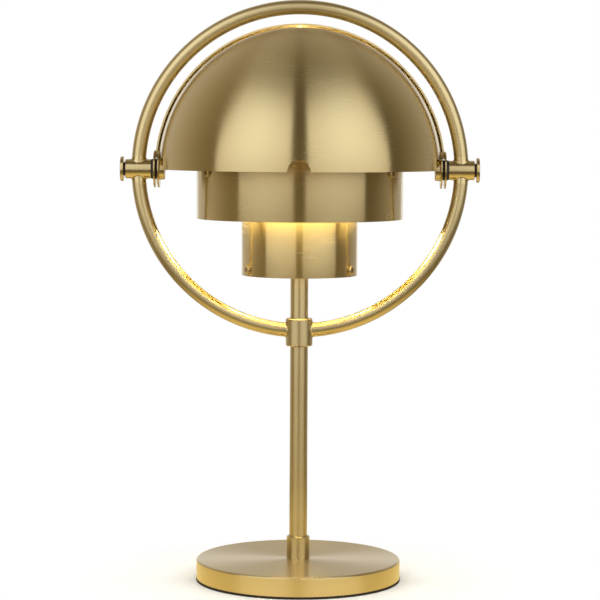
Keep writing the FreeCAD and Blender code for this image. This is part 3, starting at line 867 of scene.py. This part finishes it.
# ------------------------------------------------------------------ finishes
class LAMP_OT_finishes(bpy.types.Operator):
    """Make every finish and give the frame's own pieces theirs"""

    bl_idname = "lamp.make_finishes"
    bl_label = "Make Finishes"

    def execute(self, context):
        finishes = context.scene.lamp_finishes
        level = context.scene.lamp_shapes.pivot_height
        brushed_brass("shade_brass", finishes, around_dome, level)
        brushed_brass("cylinder_brass", finishes, around_upright, level)
        matt_brass(finishes)
        foot = brushed_brass("foot_brass", finishes, around_upright, 0.0, smear=0.75, sheen=0.34)
        stem = brushed_brass("stem_brass", finishes, around_upright, 0.0, smear=0.3, sheen=0.32)
        brushed_brass("hoop_brass", finishes, along_hoop, level, smear=0.0, sheen=0.34, pitch=0.1, grain=0.15)
        pivot = brushed_brass("pivot_brass", finishes, around_pivots, level, smear=0.0, sheen=0.22,
                              depth=2.5 * BRUSH_DEPTH)
        steel = zinc_steel("zinc_steel", 1.0)
        zinc_steel("pin_steel", 0.9)
        resin = moulded_resin("speckled_resin", finishes.resin, level)
        opal_glass(finishes, level)
        cap = plated_cap()
        turned = bare_brass(finishes)
        nylon = black_nylon(finishes)
        wearing = {
            foot: ["base_cover"],
            stem: ["stem_tube", "stem_ferrule", "ring_collar"],
            pivot: ["middle_cylinder_screws", "inner_cylinder_screws", "lower_spider", "upper_spider"],
            foam_rubber(finishes): ["base_pad"],
            primed_iron(): ["base_weight"],
            steel: ["floor_plate", "floor_screws", "stem_nut", "holder_nipple", "clamp_nut", "collar_screw"],
            turned: ["stem_bush", "holder_sleeve", "holder_contact"],
            nylon: ["cable_grommet", "bulb_insulator"],
            lead_sheath(): ["inner_lead"],
            resin: ["holder_cup"],
            fired_ceramic(): ["holder_core"],
            cap: ["bulb_tip"],
        }
        for side in SIDES:
            wearing[pivot] += [part + side for part in ("hub_", "knob_", "pivot_nut_", "back_ear_",
                                                        "front_ear_")]
            wearing[nylon] += [part + side for part in ("knob_washer_", "hub_washer_", "ear_washer_")]
        for finish, nodes in wearing.items():
            for node in nodes:
                dress(node, finish)
        return {"FINISHED"}


# --------------------------------------------------------------------- stage
FLOOR_RADIUS = 9.0
GLOW_RADIUS = 0.55
FLATS_RADIUS = 6.0

# The gap in the flats behind the lamp: half its width and half its height, in degrees.
FLATS_GAP = (24, 14)

# Bearing and half width of each softbox in degrees, then the place and height of both in metres.
SOFTBOXES = {"softbox_left": (-37.8, 31.4), "softbox_right": (41.0, 34.6)}
SOFTBOX_REACH = 1.6
SOFTBOX_BOTTOM = 0.02
SOFTBOX_TALL = 2.8

CAMERA_PLACE = (0.01432, -1.95613, 0.39446)
CAMERA_YAW = -0.007
CAMERA_DIP = 0.0758
CAMERA_ROLL = 0.005


def stage_piece(name, shape, finish, camera=True, glossy=True, diffuse=True):
    """A stage surface and the kinds of ray that meet it."""
    mesh = bpy.data.meshes.new(name)
    shape.to_mesh(mesh)
    shape.free()
    mesh.materials.append(finish)
    item = bpy.data.objects.new(name, mesh)
    bpy.context.scene.collection.objects.link(item)
    item.visible_camera = camera
    item.visible_glossy = glossy
    item.visible_diffuse = diffuse
    item.visible_shadow = camera
    item.visible_volume_scatter = False


def floor_finish(stage):
    """Pale floor that fades into the white background away from the lamp."""
    recipe = new_recipe("pale_floor")
    x, y, z = recipe.place()
    away = off_axis(x, y).between(0.095, 0.21)
    grain = recipe.noise(recipe.vector(x, y, z), 300.0, 2.0)
    matt = recipe.node("ShaderNodeBsdfPrincipled", {}, {
        "Base Color": recipe.tint(grain, shaded(stage.floor, 0.99), shaded(stage.floor, 1.01)),
        "Roughness": 0.9, "Specular IOR Level": 0.1})
    white = recipe.node("ShaderNodeEmission", {}, {"Color": WHITE, "Strength": 1.0})
    seen = recipe.signal("ShaderNodeLightPath", output="Is Camera Ray")
    return recipe.result(recipe.node("ShaderNodeMixShader", {}, {
        0: seen * away, 1: matt.outputs[0], 2: white.outputs[0]}))


def glow_finish():
    """The warm light round the foot, as the foot's side reflects it."""
    recipe = new_recipe("floor_glow")
    x, y, z = recipe.place()
    near = 1 - off_axis(x, y).between(0.12, 0.54)
    return recipe.shining((1.0, 0.80, 0.34), near * 1.1 + 0.1)


def softbox_finish(stage):
    """Lit cloth, brighter in its middle."""
    recipe = new_recipe("softbox_cloth")
    uv = recipe.node("ShaderNodeTexCoord").outputs["UV"]
    parts = recipe.node("ShaderNodeSeparateXYZ", {}, {0: uv})
    u, v = (Signal(recipe, parts.outputs[k]) - 0.5 for k in range(2))
    middle = (1 - off_axis(u, v) * 1.4).at_least(0.0)
    tone = recipe.tint(middle, (1.0, 0.96, 0.88, 1.0), (0.92, 0.98, 1.0, 1.0))
    return recipe.shining(tone, (middle * 0.5 + 0.75) * stage.softbox)


def flats_finish():
    """The dim walls of the studio, which only reflections show: darkest in front and overhead."""
    recipe = new_recipe("studio_flats")
    x, y, z = (part / FLATS_RADIUS for part in recipe.place())
    back = y.between(-0.35, 0.9)
    left = (0 - x).between(-0.2, 0.9)
    right = x.between(0.3, 0.9)
    low = (0 - z).between(0.3, 0.7)
    tone = recipe.tint(back, (1.0, 0.80, 0.45, 1.0), (1.0, 0.92, 0.78, 1.0))
    return recipe.shining(tone, (0.13 + back * 0.42 + left * 0.13 + low * 0.35) * (1 - right * 0.10))


def place_camera(scene, focal_length):
    """The camera at the photograph's viewing angle."""
    dip = math.cos(CAMERA_DIP)
    ahead = Vector((math.sin(CAMERA_YAW) * dip, math.cos(CAMERA_YAW) * dip, -math.sin(CAMERA_DIP)))
    level = Vector((math.cos(CAMERA_YAW), -math.sin(CAMERA_YAW), 0.0))
    rise = level.cross(ahead)
    right = math.cos(CAMERA_ROLL) * level + math.sin(CAMERA_ROLL) * rise
    up = math.cos(CAMERA_ROLL) * rise - math.sin(CAMERA_ROLL) * level
    lens = bpy.data.cameras.new("camera")
    lens.sensor_width = 36.0
    lens.lens = focal_length
    camera = bpy.data.objects.new("camera", lens)
    scene.collection.objects.link(camera)
    turn = Matrix((right, up, -ahead)).transposed().to_4x4()
    camera.matrix_world = Matrix.Translation(CAMERA_PLACE) @ turn
    scene.camera = camera


class LAMP_OT_stage(bpy.types.Operator):
    """Lay the pale floor, set the softboxes and the flats, and place the camera"""

    bl_idname = "lamp.set_stage"
    bl_label = "Set Stage"

    def execute(self, context):
        stage = context.scene.lamp_stage
        floor = bmesh.new()
        bmesh.ops.create_circle(floor, cap_ends=True, segments=96, radius=FLOOR_RADIUS)
        stage_piece("floor", floor, floor_finish(stage), glossy=False)
        glow = bmesh.new()
        bmesh.ops.create_circle(glow, cap_ends=True, segments=64, radius=GLOW_RADIUS)
        stage_piece("floor_glow", glow, glow_finish(), camera=False, diffuse=False)

        cloth = softbox_finish(stage)
        for name, (bearing, half_width) in SOFTBOXES.items():
            panel = bmesh.new()
            bmesh.ops.create_grid(panel, x_segments=1, y_segments=1, size=0.5)
            weave = panel.loops.layers.uv.verify()
            for face in panel.faces:
                for loop in face.loops:
                    loop[weave].uv = (loop.vert.co.x + 0.5, loop.vert.co.y + 0.5)
            width = 2 * SOFTBOX_REACH * math.tan(math.radians(half_width))
            bmesh.ops.scale(panel, vec=(width, SOFTBOX_TALL, 1.0), verts=panel.verts)
            turn = Matrix.Rotation(math.radians(bearing), 4, "Z") @ Matrix.Rotation(math.pi / 2, 4, "X")
            stood(panel, turn, turn @ Vector((0, SOFTBOX_BOTTOM + SOFTBOX_TALL / 2, SOFTBOX_REACH)))
            stage_piece(name, panel, cloth, camera=False)

        flats = bmesh.new()
        bmesh.ops.create_uvsphere(flats, u_segments=72, v_segments=36, radius=FLATS_RADIUS)
        gone = []
        for face in flats.faces:
            middle = face.calc_center_median()
            bearing = math.degrees(math.atan2(middle.x, middle.y))
            elevation = math.degrees(math.asin(middle.z / middle.length))
            if abs(bearing) < FLATS_GAP[0] and abs(elevation) < FLATS_GAP[1]:
                gone.append(face)
        bmesh.ops.delete(flats, geom=gone, context="FACES")
        bmesh.ops.reverse_faces(flats, faces=flats.faces)
        stage_piece("studio_flats", flats, flats_finish(), camera=False, diffuse=False)

        world = bpy.data.worlds.new("studio")
        context.scene.world = world
        recipe = Recipe(world)
        path = recipe.node("ShaderNodeLightPath")
        seen = (Signal(recipe, path.outputs["Is Camera Ray"]) + Signal(recipe, path.outputs["Is Glossy Ray"])
                + Signal(recipe, path.outputs["Is Transmission Ray"])).at_most(1.0)
        light = recipe.node("ShaderNodeBackground", {}, {"Color": WHITE,
                                                         "Strength": seen * (1 - stage.fill) + stage.fill})
        recipe.result(light, "ShaderNodeOutputWorld")
        context.scene.view_settings.view_transform = "Standard"

        place_camera(context.scene, stage.lens)
        return {"FINISHED"}


# --------------------------------------------------------------------- panel
class LAMP_PT_panel(bpy.types.Panel):
    """Lists the lamp's pieces, sizes and colours"""

    bl_idname = "LAMP_PT_panel"
    bl_label = "Dome Shade Desk Lamp"
    bl_space_type = "VIEW_3D"
    bl_region_type = "UI"
    bl_category = "Lamp"

    def draw(self, context):
        for step in STEPS:
            self.layout.operator(step.bl_idname)
        for place in GROUPS:
            group = getattr(context.scene, place)
            column = self.layout.column(align=True)
            for name in group.bl_rna.properties.keys():
                if name not in ("rna_type", "name"):
                    column.prop(group, name)


STEPS = (LAMP_OT_finishes, LAMP_OT_shades, LAMP_OT_cylinders, LAMP_OT_hoop, LAMP_OT_holder,
         LAMP_OT_bulb, LAMP_OT_pivots, LAMP_OT_stage)
GROUPS = {"lamp_shapes": LampShapes, "lamp_finishes": LampFinishes, "lamp_stage": LampStage}
CLASSES = (*GROUPS.values(), *STEPS, LAMP_PT_panel)


def register():
    """Registers every class and keeps the settings with the scene."""
    for cls in CLASSES:
        bpy.utils.register_class(cls)
    for place, group in GROUPS.items():
        setattr(bpy.types.Scene, place, bpy.props.PointerProperty(type=group))


def unregister():
    """Takes the settings and the classes away again."""
    for place in GROUPS:
        delattr(bpy.types.Scene, place)
    for cls in reversed(CLASSES):
        bpy.utils.unregister_class(cls)


def main():
    """Makes the whole lamp and its studio."""
    register()
    bpy.ops.lamp.make_finishes()
    bpy.ops.lamp.spin_shades()
    bpy.ops.lamp.turn_cylinders()
    bpy.ops.lamp.bend_hoop()
    bpy.ops.lamp.shape_holder()
    bpy.ops.lamp.make_bulb()
    bpy.ops.lamp.cut_pivot_pins()
    bpy.ops.lamp.set_stage()


if __name__ == "__main__":
    main()
